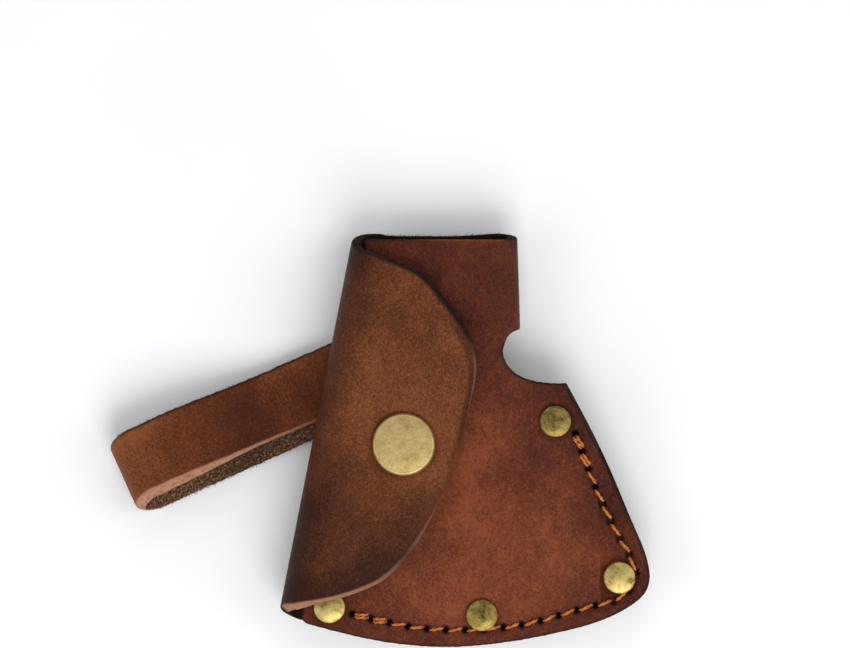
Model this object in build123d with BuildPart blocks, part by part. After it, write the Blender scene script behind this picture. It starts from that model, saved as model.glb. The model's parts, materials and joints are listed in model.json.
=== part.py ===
"""Leather sheath for a hatchet's head, in millimetres.

The sheath lies on its back: +X runs across it to the right, +Y up towards the poll, +Z out of its front.
The origin is under the middle of the whole part, on the surface that the belt loop lies on.

One piece of leather is the front, with a tab that wraps round the poll and laps the back. The other is the
back, the roll at the left and the half-round flap. The roll bends when the flap opens, so it is split into
strips that turn on three axes.
A welt, four rivets and a lockstitched seam close the pocket; a ring-spring snap closes the flap.
A folded strap on one rivet is the belt loop.
"""
import os
from math import cos, radians, sin

from build123d import *

os.makedirs("parts", exist_ok=True)

# ---- heights above the surface, and leather ----
leather = 2.4
pocket_gap = 4.6
back_z = 4.4
front_z = back_z + leather + pocket_gap
front_top = front_z + leather
flap_gap = 3.8
flap_z = front_top + flap_gap
flap_top = flap_z + leather
kerf = 0.5  # degrees of bend left free between two strips of the roll

# ---- the rolled left side ----
fold_top = Vector(-7.1, 47.9)
fold_lean = 11.07  # degrees from the Y axis
across = Vector(cos(radians(fold_lean)), -sin(radians(fold_lean)))
down = Vector(-sin(radians(fold_lean)), -cos(radians(fold_lean)))
roll_outer = (flap_top - back_z) / 2
roll_inner = roll_outer - leather
roll_z = back_z + roll_outer
roll_rise = 5.0  # how far the roll's back end stands above fold_top
roll_drop = 94.2  # how far its lower back end lies below fold_top
roll_top_slope = 0.37
roll_foot_slope = 0.3
spare = 8.0  # extra length that a trimming plane takes off
bends = (0, 30, 90, 150, 180)  # where one strip ends and the next begins

# ---- poll fold ----
poll_outer = (front_top - back_z) / 2
poll_inner = poll_outer - leather
poll_top = Vector(30.1, 50.0)
poll_foot = Vector(30.8, 27.6)
poll_down = (poll_foot - poll_top).normalized()
poll_across = Vector(-poll_down.Y, poll_down.X)
poll_length = 35.2  # of the fold, spare end included, down to the notch
top_edge = 50.0  # of the front's face
top_edge_back = 51.6  # of the back's face

# ---- the front's tab, which wraps round the poll and is skived to lap the back ----
notch_left = 31.2
tab_full_x = 22.0  # the tab has its full thickness to the right of this
tab_end_x = 2.6
tab_low = (22.8, 15.0)  # the tab's lower edge at the notch and from tab_full_x on

# ---- fastenings ----
rivet_places = [(-12.3, -41.9), (25.85, -43.95), (60.2, -34.55), (44.2, 4.55)]
rivet_cap_r = 4.0
rivet_tube_r = 2.0
rivet_post_r = 1.45
rivet_rise = 1.5
rivet_back_rise = 1.2
running_gap = 0.05
snap_place = (6.3, -1.1)
snap_cap_r = 7.8
snap_cap_rise = 1.9
snap_socket_r = 6.3
snap_cavity_r = 3.4
snap_nub_r = 2.9
snap_post_r = 1.3
snap_eyelet_r = 1.6
snap_wall = 1.35
snap_spring_r = 3.55
snap_wire_r = 0.28
stitches = 24
thread_r = 0.4
stitch_hole_r = 0.7

# ---- belt loop: s runs along the strap, w across it ----
strap_turn = 24.2  # degrees from the X axis
strap = 2.1
strap_end = 1.55
strap_width = 16.2
strap_low = 6.7  # where the lower half's edge lies on w
strap_shift = 4.5  # how far the upper half is shifted on w
loop_fold_r = 6.0
loop_fold_s = -56.7
loop_end_s = 24.0
loop_flat_s = -13.0  # from here to the rivet the two halves lie flat together
loop_skive_s = (2.0, 9.0)  # between these the strap thins towards its ends
loop_rivet_s = 17.1
loop_rivet_w = strap_low + (strap_width + strap_shift) / 2


def fold_point(n, u):
    """A point at distance n across the sheath from the left fold, and u up from the fold's top."""
    return fold_top + across * n - down * u


def strap_point(s, w):
    """A point at s along the strap and w across it."""
    turn = radians(strap_turn)
    return Vector(s * cos(turn) - w * sin(turn), s * sin(turn) + w * cos(turn))


loop_rivet = tuple(strap_point(loop_rivet_s, loop_rivet_w))[:2]
fold_plane = Plane(origin=fold_point(0, roll_rise + spare), x_dir=across, z_dir=down)
roll_length = roll_rise + roll_drop + 2 * spare
roll_top_cut = Plane(
    origin=fold_point(0, roll_rise) + Vector(0, 0, back_z),
    z_dir=-down + Vector(0, 0, roll_top_slope),
)
roll_foot_cut = Plane(
    origin=fold_point(0, -roll_drop) + Vector(0, 0, back_z),
    z_dir=down + Vector(0, 0, roll_foot_slope),
)
top_cut = Plane(
    origin=(0, top_edge, front_top),
    z_dir=(0, front_top - back_z, top_edge_back - top_edge),
)
poll_plane = Plane(
    origin=poll_top - poll_down * spare + Vector(0, 0, back_z + poll_outer),
    x_dir=poll_across,
    z_dir=poll_down,
)

# ---- outlines ----
poll_above = poll_top - poll_down * 4
poll_below = poll_foot + poll_down * 8
shoulder = Vector(43.6, 19.3)
foot = Vector(-17.6, -46.1)

with BuildLine() as pouch_edge:
    Spline(
        shoulder,
        (53.9, -0.1),
        (63.9, -22.1),
        (67.4, -31.5),
        (67.3, -36.9),
        (62.3, -42.0),
        (45.4, -48.1),
        (17.9, -51.8),
        (-1.6, -50.0),
        foot,
    )

with BuildLine() as welt_edge:
    Spline(
        (33.5, 15.0),
        (40.2, 2.5),
        (47.4, -11.0),
        (54.2, -26.0),
        (54.6, -31.3),
        (50.5, -35.0),
        (40.0, -37.8),
        (18.0, -39.4),
        (0.0, -38.0),
        (-14.5, -35.6),
    )

with BuildLine() as seam:
    Spline(
        (49.2, 1.6),
        (54.4, -12.25),
        (60.85, -25.5),
        (64.1, -33.9),
        (62.3, -38.2),
        (53.0, -41.7),
        (40.25, -45.35),
        (25.9, -47.35),
        (11.5, -47.2),
        (-6.6, -43.55),
    )
seam_line = seam.line.edges()[0]
seam_holes = [seam_line.position_at(i / stitches) for i in range(stitches + 1)]

with BuildSketch() as back_outline:
    with BuildLine():
        add(pouch_edge.line)
        Polyline(foot, fold_point(roll_outer, spare), poll_above, poll_below, shoulder)
    make_face()

with BuildSketch() as front_outline:
    with BuildLine():
        add(pouch_edge.line)
        Polyline(foot, (-19.4, -43.9), (-2.6, 54.0), poll_above, poll_below, shoulder)
    make_face()

with BuildSketch() as notch_outline:
    with BuildLine():
        notch = Spline(
            (37.5, 28.3),
            (33.2, 26.5),
            (31.1, 22.8),
            (31.9, 19.2),
            (34.6, 16.3),
            (40.1, 14.3),
            (46.4, 13.9),
        )
        Polyline(notch @ 1, (56.0, 13.9), (56.0, 28.3), notch @ 0)
    make_face()

with BuildSketch() as flap_outline:
    with BuildLine():
        Spline(
            (-7.2, 49.2),
            (-3.6, 47.1),
            (3.3, 44.3),
            (10.75, 40.4),
            (15.9, 34.5),
            (21.6, 27.0),
            (24.4, 20.0),
            (23.6, 10.0),
            (20.6, -3.0),
            (15.5, -15.5),
            (7.9, -26.4),
            (-4.9, -37.3),
            (-14.0, -40.5),
            (-24.4, -42.1),
        )
        Polyline((-24.4, -42.1), (-34.0, -42.1), (-16.0, 49.2), (-7.2, 49.2))
    make_face()


def roll_face(start, stop):
    """The roll's section between two angles of bend, counted from the back, in the fold's own plane."""
    centre = (roll_outer, roll_z)
    with BuildSketch(fold_plane) as section:
        with BuildLine():
            outer = CenterArc(centre, roll_outer, 270 - stop, stop - start)
            inner = CenterArc(centre, roll_inner, 270 - stop, stop - start)
            Line(outer @ 0, inner @ 0)
            Line(outer @ 1, inner @ 1)
        make_face()
    return section.sketch


def write(builder, name):
    """Label a finished piece and write its STEP file."""
    builder.part.label = name
    export_step(builder.part, f"parts/{name}.step")


# ---- leather of the sheath ----
with BuildSketch() as tab_outline:
    with BuildLine():
        Polyline(
            (notch_left, tab_low[0]),
            (tab_full_x, tab_low[1]),
            (tab_end_x, tab_low[1]),
            (tab_end_x, poll_above.Y),
            (poll_above.X, poll_above.Y),
            (notch_left, poll_above.Y),
            close=True,
        )
    make_face()
    add(back_outline.sketch, mode=Mode.INTERSECT)

with BuildSketch() as tab_full:
    add(tab_outline.sketch)
    with Locations((tab_full_x, tab_low[1])):
        Rectangle(poll_outer * 4, 100, align=(Align.MIN, Align.CENTER), mode=Mode.INTERSECT)

with BuildPart() as front_panel:
    with BuildSketch(Plane.XY.offset(front_z)):
        add(front_outline.sketch)
    extrude(amount=leather)
    with BuildSketch(poll_plane):
        Circle(poll_outer)
        Circle(poll_inner, mode=Mode.SUBTRACT)
        with Locations((-poll_outer / 2, 0)):
            Rectangle(poll_outer, 2 * poll_outer, mode=Mode.SUBTRACT)
    extrude(amount=poll_length)
    with BuildSketch(Plane.XY.offset(back_z)):
        add(tab_full.sketch)
    extrude(amount=leather)
    with BuildSketch(Plane.XY.offset(back_z + leather / 2)):
        add(tab_outline.sketch)
    extrude(amount=leather / 2)
    split(bisect_by=top_cut, keep=Keep.BOTTOM)
    with BuildSketch(Plane.XY):
        add(notch_outline.sketch)
    extrude(amount=flap_top, mode=Mode.SUBTRACT)
    with Locations(*[Vector(x, y, front_top) for x, y in rivet_places]):
        Hole(rivet_tube_r + running_gap, depth=leather)
    with Locations(Vector(*snap_place, front_top)):
        Hole(snap_eyelet_r + running_gap, depth=leather)
    with Locations(Vector(*loop_rivet, back_z + leather)):
        Hole(rivet_post_r + running_gap, depth=leather)
    with Locations(*[Vector(hole.X, hole.Y, front_top) for hole in seam_holes]):
        Hole(stitch_hole_r, depth=leather)
write(front_panel, "front_panel")

with BuildPart() as back_panel:
    extrude(roll_face(bends[0], bends[1] - kerf / 2), amount=roll_length)
    split(bisect_by=roll_top_cut, keep=Keep.BOTTOM)
    split(bisect_by=roll_foot_cut, keep=Keep.BOTTOM)
    with BuildSketch(Plane.XY.offset(back_z)):
        add(back_outline.sketch)
    extrude(amount=leather)
    split(bisect_by=top_cut, keep=Keep.BOTTOM)
    with BuildSketch(Plane.XY.offset(back_z)):
        add(tab_full.sketch)
    extrude(amount=leather, mode=Mode.SUBTRACT)
    with BuildSketch(Plane.XY.offset(back_z + leather / 2)):
        add(tab_outline.sketch)
    extrude(amount=leather / 2, mode=Mode.SUBTRACT)
    with BuildSketch(Plane.XY):
        add(notch_outline.sketch)
    extrude(amount=flap_top, mode=Mode.SUBTRACT)
    with Locations(*[Vector(x, y, back_z + leather) for x, y in rivet_places]):
        Hole(rivet_post_r + running_gap)
    with Locations(Vector(*loop_rivet, back_z + leather)):
        Hole(rivet_post_r + running_gap)
    with Locations(*[Vector(hole.X, hole.Y, back_z + leather) for hole in seam_holes]):
        Hole(stitch_hole_r)
write(back_panel, "back_panel")

with BuildPart() as welt:
    with BuildSketch(Plane.XY.offset(back_z + leather)):
        with BuildLine():
            add(pouch_edge.line)
            add(welt_edge.line)
            Line(welt_edge.line @ 0, pouch_edge.line @ 0)
            Line(welt_edge.line @ 1, pouch_edge.line @ 1)
        make_face()
        add(notch_outline.sketch, mode=Mode.SUBTRACT)
    extrude(amount=pocket_gap)
    split(bisect_by=Plane(origin=fold_point(roll_outer + 0.4, 0), z_dir=across), keep=Keep.TOP)
    with Locations(*[Vector(x, y, front_z) for x, y in rivet_places]):
        Hole(rivet_tube_r + running_gap)
    with Locations(*[Vector(hole.X, hole.Y, front_z) for hole in seam_holes]):
        Hole(stitch_hole_r)
write(welt, "welt")

for strip_name, first, last in (("flap_fold_lower", 1, 2), ("flap_fold_upper", 2, 3)):
    with BuildPart() as strip:
        extrude(roll_face(bends[first] + kerf / 2, bends[last] - kerf / 2), amount=roll_length)
        split(bisect_by=roll_top_cut, keep=Keep.BOTTOM)
        split(bisect_by=roll_foot_cut, keep=Keep.BOTTOM)
    write(strip, strip_name)

flap_flat_n = 30.5  # where the flap's margin starts to bend down
margin_turn = 30.0
margin_r = 10.0
margin_run = 6.0
with BuildPart() as flap:
    extrude(roll_face(bends[3] + kerf / 2, bends[4]), amount=roll_length)
    with BuildSketch(fold_plane):
        with BuildLine():
            bend_centre = (flap_flat_n, flap_top - margin_r)
            face = Line((roll_outer, flap_top), (flap_flat_n, flap_top))
            face_bend = CenterArc(bend_centre, margin_r, 90, -margin_turn)
            face_rim = PolarLine(face_bend @ 1, margin_run, -margin_turn)
            under = Line((roll_outer, flap_z), (flap_flat_n, flap_z))
            under_bend = CenterArc(bend_centre, margin_r - leather, 90, -margin_turn)
            under_rim = PolarLine(under_bend @ 1, margin_run, -margin_turn)
            Line(face @ 0, under @ 0)
            Line(face_rim @ 1, under_rim @ 1)
        make_face()
    extrude(amount=roll_length)
    with BuildSketch(Plane.XY):
        add(flap_outline.sketch)
    extrude(amount=2 * flap_top, mode=Mode.INTERSECT)
    with Locations(Vector(*snap_place, flap_top)):
        Hole(snap_post_r + running_gap, depth=leather)
write(flap, "flap")


# ---- belt loop ----
def strap_plane(w):
    """The plane along the strap and up from the surface, at w across the strap."""
    return Plane(origin=strap_point(0, w), x_dir=strap_point(1, 0), z_dir=strap_point(0, -1))


strap_high = strap_low + strap_shift
strap_out = strap_point(0, 1)
loop_top = 2 * loop_fold_r
end_face_z = rivet_back_rise + 2 * strap_end
with BuildPart() as belt_loop:
    with BuildSketch(strap_plane(strap_low)):
        with Locations((loop_fold_s, loop_fold_r)):
            Circle(loop_fold_r)
            Circle(loop_fold_r - strap, mode=Mode.SUBTRACT)
        with Locations((loop_fold_s + loop_fold_r, loop_fold_r)):
            Rectangle(2 * loop_fold_r, loop_top, mode=Mode.SUBTRACT)
    extrude(amount=-strap_width - strap_shift)
    split(
        bisect_by=Plane(
            origin=strap_point(0, strap_low),
            z_dir=-strap_out * loop_top + Vector(0, 0, strap_shift),
        ),
        keep=Keep.BOTTOM,
    )
    split(
        bisect_by=Plane(
            origin=strap_point(0, strap_low + strap_width),
            z_dir=strap_out * loop_top - Vector(0, 0, strap_shift),
        ),
        keep=Keep.BOTTOM,
    )
    with BuildSketch(strap_plane(strap_low)):
        with BuildLine():
            Polyline(
                (loop_fold_s, 0),
                (loop_skive_s[0], 0),
                (loop_skive_s[1], rivet_back_rise),
                (loop_end_s, rivet_back_rise),
                (loop_end_s, rivet_back_rise + strap_end),
                (loop_skive_s[1], rivet_back_rise + strap_end),
                (loop_skive_s[0], strap),
                (loop_fold_s, strap),
                close=True,
            )
        make_face()
    extrude(amount=-strap_width)
    with BuildSketch(strap_plane(strap_high)):
        with BuildLine():
            rise = Spline(
                (loop_flat_s, 2 * strap),
                (-24.0, 6.2),
                (-36.0, 9.6),
                (-47.0, 11.6),
                (loop_fold_s, loop_top),
                tangents=((-1, 0), (-1, 0)),
            )
            inside = [rise @ t + (rise % t).rotate(Axis.Z, 90) * strap for t in (0, 0.25, 0.5, 0.75, 1)]
            Spline(*inside, tangents=((-1, 0), (-1, 0)))
            Line(rise @ 1, inside[-1])
            Polyline(
                inside[0],
                (loop_skive_s[0], strap),
                (loop_skive_s[1], rivet_back_rise + strap_end),
                (loop_end_s, rivet_back_rise + strap_end),
                (loop_end_s, end_face_z),
                (loop_skive_s[1], end_face_z),
                (loop_skive_s[0], 2 * strap),
                rise @ 0,
            )
        make_face()
    extrude(amount=-strap_width)
    with Locations(strap_point(loop_rivet_s, loop_rivet_w) + Vector(0, 0, end_face_z)):
        Hole(rivet_post_r + running_gap, depth=2 * strap_end)
write(belt_loop, "belt_loop")


def section_plane(place):
    """An upright plane through a fastening's axis, with radius along its x and height along its y."""
    return Plane(origin=(*place, 0), x_dir=(1, 0, 0), z_dir=(0, -1, 0))


def turned(place, outline):
    """A solid of revolution about a fastening's upright axis; outline is a closed list of radius and height."""
    with BuildSketch(section_plane(place)) as section:
        with BuildLine():
            Polyline(*outline, close=True)
        make_face()
    return revolve(section.sketch, axis=Axis((*place, 0), (0, 0, 1)), mode=Mode.PRIVATE)


def dome(radius, base, rise, rim=0.3, steps=6):
    """Points of a domed cap's section from its rim to its axis; rise is negative for a cap that faces down."""
    way = 1 if rise > 0 else -1
    crown = rise - way * rim
    turns = [90 * i / steps for i in range(steps + 1)]
    return [(radius, base)] + [(radius * cos(radians(a)), base + way * rim + crown * sin(radians(a))) for a in turns]


# ---- rivets of the pocket ----
tube_length = leather + 2.0
blind_depth = 0.5
for number, place in enumerate(rivet_places, start=1):
    with BuildPart() as rivet_cap:
        add(turned(
            place,
            dome(rivet_cap_r, front_top, rivet_rise)
            + [
                (0, front_top + blind_depth),
                (rivet_post_r + running_gap, front_top + blind_depth),
                (rivet_post_r + running_gap, front_top - tube_length),
                (rivet_tube_r, front_top - tube_length),
                (rivet_tube_r, front_top),
            ],
        ))
    write(rivet_cap, f"rivet_{number}_cap")
    with BuildPart() as rivet_post:
        add(turned(
            place,
            dome(rivet_cap_r, back_z, -rivet_back_rise)
            + [
                (0, front_top + blind_depth - 2 * running_gap),
                (rivet_post_r, front_top + blind_depth - 2 * running_gap),
                (rivet_post_r, back_z),
            ],
        ))
    write(rivet_post, f"rivet_{number}_post")

# ---- the belt loop's rivet ----
inner_face = back_z + leather
with BuildPart() as loop_rivet_post:
    flange_top = rivet_back_rise - running_gap
    add(turned(
        loop_rivet,
        dome(rivet_cap_r, flange_top, -flange_top)
        + [
            (0, inner_face + blind_depth),
            (rivet_post_r, inner_face + blind_depth),
            (rivet_post_r, flange_top),
        ],
    ))
write(loop_rivet_post, "loop_rivet_post")

with BuildPart() as loop_rivet_cap:
    add(turned(
        loop_rivet,
        dome(rivet_cap_r, inner_face, rivet_back_rise)
        + [
            (0, inner_face + blind_depth + running_gap),
            (rivet_post_r + running_gap, inner_face + blind_depth + running_gap),
            (rivet_post_r + running_gap, inner_face),
        ],
    ))
write(loop_rivet_cap, "loop_rivet_cap")

# ---- snap ----
socket_top = flap_z - running_gap
socket_foot = socket_top - 3.3
cavity_top = socket_top - snap_wall
peened_r = 1.9
with BuildPart() as snap_cap:
    add(turned(
        snap_place,
        dome(snap_cap_r, flap_top, snap_cap_rise, rim=0.5, steps=9)
        + [
            (0, cavity_top - 0.25),
            (peened_r, cavity_top - 0.25),
            (peened_r, cavity_top),
            (snap_post_r, cavity_top),
            (snap_post_r, flap_top),
        ],
    ))
write(snap_cap, "snap_cap")

groove_z = socket_foot + 0.65
groove_half = snap_wire_r + 0.1
groove_r = snap_spring_r + groove_half
with BuildPart() as snap_socket:
    add(turned(
        snap_place,
        [
            (snap_post_r + running_gap, socket_top),
            (snap_socket_r - 1.2, socket_top),
            (snap_socket_r, socket_top - 1.4),
            (snap_socket_r, socket_foot + 0.3),
            (snap_socket_r - 0.3, socket_foot),
            (snap_cavity_r, socket_foot),
            (snap_cavity_r, groove_z - groove_half),
            (groove_r, groove_z - groove_half),
            (groove_r, groove_z + groove_half),
            (snap_cavity_r, groove_z + groove_half),
            (snap_cavity_r, cavity_top),
            (snap_post_r + running_gap, cavity_top),
        ],
    ))
write(snap_socket, "snap_socket")

spring_turn = 330  # degrees; the wire ring is split
with BuildPart() as snap_spring:
    with BuildSketch(section_plane(snap_place)):
        with Locations((snap_spring_r, groove_z)):
            Circle(snap_wire_r)
    revolve(axis=Axis((*snap_place, 0), (0, 0, 1)), revolution_arc=spring_turn)
write(snap_spring, "snap_spring")

stud_flange = 0.35
nub_top = cavity_top - 0.45
with BuildPart() as snap_stud:
    add(turned(
        snap_place,
        [
            (snap_eyelet_r + running_gap, front_top),
            (snap_socket_r - 1.3, front_top),
            (snap_socket_r - 1.3, front_top + stud_flange),
            (snap_nub_r - 0.4, front_top + stud_flange),
            (snap_nub_r - 0.4, nub_top - 1.1),
            (snap_nub_r, nub_top - 0.6),
            (snap_nub_r - 0.3, nub_top),
            (0, nub_top),
            (0, nub_top - 0.4),
            (snap_eyelet_r + running_gap, nub_top - 0.4),
        ],
    ))
write(snap_stud, "snap_stud")

with BuildPart() as snap_eyelet:
    add(turned(
        snap_place,
        [
            (1.1, front_z - 0.5),
            (4.2, front_z - 0.5),
            (4.2, front_z),
            (snap_eyelet_r, front_z),
            (snap_eyelet_r, nub_top - 0.5),
            (1.1, nub_top - 0.5),
        ],
    ))
write(snap_eyelet, "snap_eyelet")

# ---- lockstitched seam ----
thread_meet = (front_top + back_z) / 2
thread_leg_r = 0.5
thread_sink = thread_r - 0.1


with BuildPart() as front_thread:
    face_z = front_top + thread_r + running_gap
    for start, end in zip(seam_holes, seam_holes[1:]):
        stitch = Vector(end.X - start.X, end.Y - start.Y)
        with BuildSketch(Plane(origin=(start.X, start.Y, face_z), z_dir=stitch)):
            Circle(thread_r)
        extrude(amount=stitch.length)
    for hole in seam_holes:
        with BuildSketch(Plane(origin=(hole.X, hole.Y, thread_meet + running_gap))):
            Circle(thread_leg_r)
        extrude(amount=face_z - thread_meet + thread_sink)
write(front_thread, "front_thread")

with BuildPart() as back_thread:
    mirror(front_thread.part, about=Plane.XY.offset(thread_meet))
write(back_thread, "back_thread")
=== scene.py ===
"""The looks of a leather sheath for a hatchet's head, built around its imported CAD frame.

Lengths are in millimetres and heights are above the floor, until leather(), tube() or turned() makes a mesh.
Each leather piece is laid out flat, cut, and then bent into place, so its grain runs on through every fold.
"""

import json
from math import cos, pi, radians, sin

import bmesh
import bpy
import numpy as np
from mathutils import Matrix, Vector
from mathutils.geometry import delaunay_2d_cdt


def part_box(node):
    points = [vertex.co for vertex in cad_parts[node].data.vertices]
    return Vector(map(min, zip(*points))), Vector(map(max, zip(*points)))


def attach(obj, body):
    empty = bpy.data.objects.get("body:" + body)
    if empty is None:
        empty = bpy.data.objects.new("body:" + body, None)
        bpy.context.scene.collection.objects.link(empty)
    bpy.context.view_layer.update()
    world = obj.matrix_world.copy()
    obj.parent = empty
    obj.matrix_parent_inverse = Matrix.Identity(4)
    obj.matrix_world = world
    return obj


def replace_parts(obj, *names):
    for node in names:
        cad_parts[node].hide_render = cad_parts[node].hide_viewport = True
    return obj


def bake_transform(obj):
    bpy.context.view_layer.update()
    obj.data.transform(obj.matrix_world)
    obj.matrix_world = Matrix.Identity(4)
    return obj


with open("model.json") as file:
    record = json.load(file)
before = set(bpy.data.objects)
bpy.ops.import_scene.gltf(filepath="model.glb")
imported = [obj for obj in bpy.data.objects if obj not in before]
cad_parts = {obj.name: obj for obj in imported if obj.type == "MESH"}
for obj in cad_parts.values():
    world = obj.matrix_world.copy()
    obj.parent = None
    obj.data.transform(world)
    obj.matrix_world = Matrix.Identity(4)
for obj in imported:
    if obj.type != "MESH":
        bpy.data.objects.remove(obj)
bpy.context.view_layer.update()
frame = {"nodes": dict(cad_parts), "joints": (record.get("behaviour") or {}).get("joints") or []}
MM = 0.001
chance = np.random.default_rng(11)


def corner(node, end):
    """A corner of a CAD node's box in millimetres: end 0 is the lowest, 1 the highest."""
    return np.array(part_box(node)[end]) / MM


def centre_of(node):
    return ((corner(node, 0) + corner(node, 1)) / 2)[:2]


# ---- heights and thicknesses ----
hide_thickness = 2.4
strap_thickness = 2.1
back_z = corner("back_panel", 0)[2]
front_top = corner("front_panel", 1)[2]
flap_top = corner("flap", 1)[2]
inner_back = back_z + hide_thickness
inner_front = front_top - hide_thickness

# ---- the rolled left side: n runs across the sheath from it, u up along it ----
joints = {j["name"]: j for j in frame["joints"]}
roll_outer = (flap_top - back_z) / 2
roll_z = back_z + roll_outer
roll_middle = np.array(joints["flap_open_middle"]["pos_m"]) / MM
down = np.array(joints["flap_open_middle"]["axis"][:2])
across = np.array([-down[1], down[0]])
roll_half_length = 45.0
fold_top = roll_middle[:2] - down * roll_half_length
roll_top_rise, roll_top_slope = 5.0, 0.37
roll_foot_drop, roll_foot_slope = 94.2, 0.3
back_across = roll_outer - pi * roll_outer  # the flat coordinate where the roll meets the back
flap_seam = roll_outer - roll_outer * radians(60)
back_seam = roll_outer - roll_outer * radians(120)
margin_start = 30.5  # from here the flap's margin bends down
margin_r = 10.0
margin_turn = radians(30)

# ---- the fold round the poll ----
poll_outer = (front_top - back_z) / 2
poll_z = back_z + poll_outer
poll_top = np.array([30.1, 50.0])
poll_foot = np.array([30.8, 27.6])
poll_up = (poll_top - poll_foot) / np.linalg.norm(poll_top - poll_foot)
poll_across = np.array([poll_up[1], -poll_up[0]])
poll_turn = poll_outer * pi
top_edge, top_edge_back = 50.0, 51.6

# ---- the front's tab on the back ----
tab_full_x, tab_end_x, tab_low_y = 22.0, 2.6, 15.0
skive = 1.2

# ---- fastenings ----
rivets = [centre_of(f"rivet_{i}_cap") for i in (1, 2, 3, 4)]
rivet_r = 4.0
snap = centre_of("snap_cap")
snap_r = 7.8
loop_rivet = centre_of("loop_rivet_cap")
stitches = 24
hole_r = 0.72

# ---- belt loop: s runs along the strap, w across it ----
strap_turn = radians(24.2)
strap_along = np.array([cos(strap_turn), sin(strap_turn)])
strap_across = np.array([-sin(strap_turn), cos(strap_turn)])
strap_low, strap_width = 6.7, 16.2
loop_r, loop_s = 6.0, -56.7

# ---- mesh ----
EDGE_STEP = 0.6  # between the points of a cut edge
FINE_STEP = 0.5  # between the points of a sheet near its cuts and its features
EDGE_ROWS = (0.1, 0.28, 0.52)  # the rows of points beside a cut
FINE_BY_CUT, FINE_BY_LINE = 2.1, 1.4  # how far from a cut or a feature the mesh is fine
CLEAR_OF_CUT, CLEAR_OF_EDGE = 0.75, 0.42  # how near the grid comes to a cut, and to any edge
RIVET_CIRCLES = (3.6, 4.6, 5.6)  # the radii of the features round a rivet
SNAP_CIRCLES = (7.4, 8.2, 9.0)  # and round the snap


# ---------------------------------------------------------------- lines and outlines
def run_along(line):
    """The distance along a line to each of its points."""
    return np.concatenate([[0], np.cumsum(np.linalg.norm(np.diff(line, axis=0), axis=1))])


def even(points, step=EDGE_STEP):
    """The same line with its points evenly spaced about step apart."""
    p = np.asarray(points, float)
    run = run_along(p)
    s = np.linspace(0, run[-1], max(2, int(round(run[-1] / step)) + 1))
    return np.stack([np.interp(s, run, p[:, k]) for k in range(p.shape[1])], axis=1)


def curve(points, step=EDGE_STEP):
    """Points about step apart on the natural cubic spline through the given points."""
    p = np.asarray(points, float)
    count = len(p)
    t = run_along(p)
    h = np.diff(t)
    matrix, right = np.eye(count), np.zeros_like(p)
    for i in range(1, count - 1):
        matrix[i, i - 1 : i + 2] = h[i - 1], 2 * (h[i - 1] + h[i]), h[i]
        right[i] = 6 * ((p[i + 1] - p[i]) / h[i] - (p[i] - p[i - 1]) / h[i - 1])
    m = np.linalg.solve(matrix, right)
    s = np.linspace(0, t[-1], int(t[-1] / 0.1) + 2)
    i = np.clip(np.searchsorted(t, s, side="right") - 1, 0, count - 2)
    after, before, span = (s - t[i])[:, None], (t[i + 1] - s)[:, None], h[i][:, None]
    dense = (
        (m[i] * before**3 + m[i + 1] * after**3) / (6 * span)
        + (p[i] / span - m[i] * span / 6) * before
        + (p[i + 1] / span - m[i + 1] * span / 6) * after
    )
    return even(dense, step)


def join(*lines):
    """One closed outline, anticlockwise, from lines that follow each other."""
    loop = np.concatenate([np.asarray(line, float) for line in lines])
    loop = loop[np.linalg.norm(loop - np.roll(loop, 1, axis=0), axis=1) > 0.15]
    x, y = loop[:, 0], loop[:, 1]
    area = np.sum(x * np.roll(y, -1) - y * np.roll(x, -1))
    return loop if area > 0 else loop[::-1]


def ring(centre, radius, count=10):
    """A small round hole's outline, clockwise."""
    a = -np.linspace(0, 2 * pi, count, endpoint=False)
    return np.asarray(centre) + radius * np.stack([np.cos(a), np.sin(a)], axis=1)


def circles(centres, radii, count=10):
    return [ring(centre, radius, count) for centre in centres for radius in radii]


def inside(points, loop):
    x, y = points[:, :1], points[:, 1:]
    x1, y1 = loop[:, 0], loop[:, 1]
    x2, y2 = np.roll(x1, -1), np.roll(y1, -1)
    crosses = ((y1 > y) != (y2 > y)) & (x < (x2 - x1) * (y - y1) / (y2 - y1 + 1e-12) + x1)
    return crosses.sum(1) % 2 == 1


def distance(points, starts, ends):
    """The distance from each point to the nearest of some segments."""
    out = np.empty(len(points))
    span = ends - starts
    length = np.maximum((span**2).sum(1), 1e-12)
    for k in range(0, len(points), 1500):
        p = points[k : k + 1500, None, :] - starts
        t = np.clip((p * span).sum(2) / length, 0, 1)[..., None]
        out[k : k + 1500] = np.sqrt(((p - t * span) ** 2).sum(2).min(1))
    return out


def line_distance(points, line):
    return distance(points, line[:-1], line[1:])


def outward(loop):
    """The direction away from the leather at each point of an outline, or of a hole's clockwise loop."""
    way = np.roll(loop, -1, axis=0) - np.roll(loop, 1, axis=0)
    way /= np.linalg.norm(way, axis=1)[:, None]
    return np.stack([way[:, 1], -way[:, 0]], axis=1)


def grid(low, high, step):
    """A triangular grid of points."""
    rows = np.arange(low[1], high[1], step * sin(pi / 3))
    columns = np.arange(low[0], high[0], step)
    x, y = np.meshgrid(columns, rows)
    x = x + (np.arange(len(rows)) % 2)[:, None] * step / 2
    return np.stack([x.ravel(), y.ravel()], axis=1)


def skin(first, rings, sides):
    """The faces between successive rings of points, whose first point has the number first."""
    row, k = np.meshgrid(np.arange(rings - 1), np.arange(sides), indexing="ij")
    low, following = first + row * sides, (k + 1) % sides
    corners = (low + k, low + following, low + sides + following, low + sides + k)
    return np.stack(corners, axis=-1).reshape(-1, 4).tolist()


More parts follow.
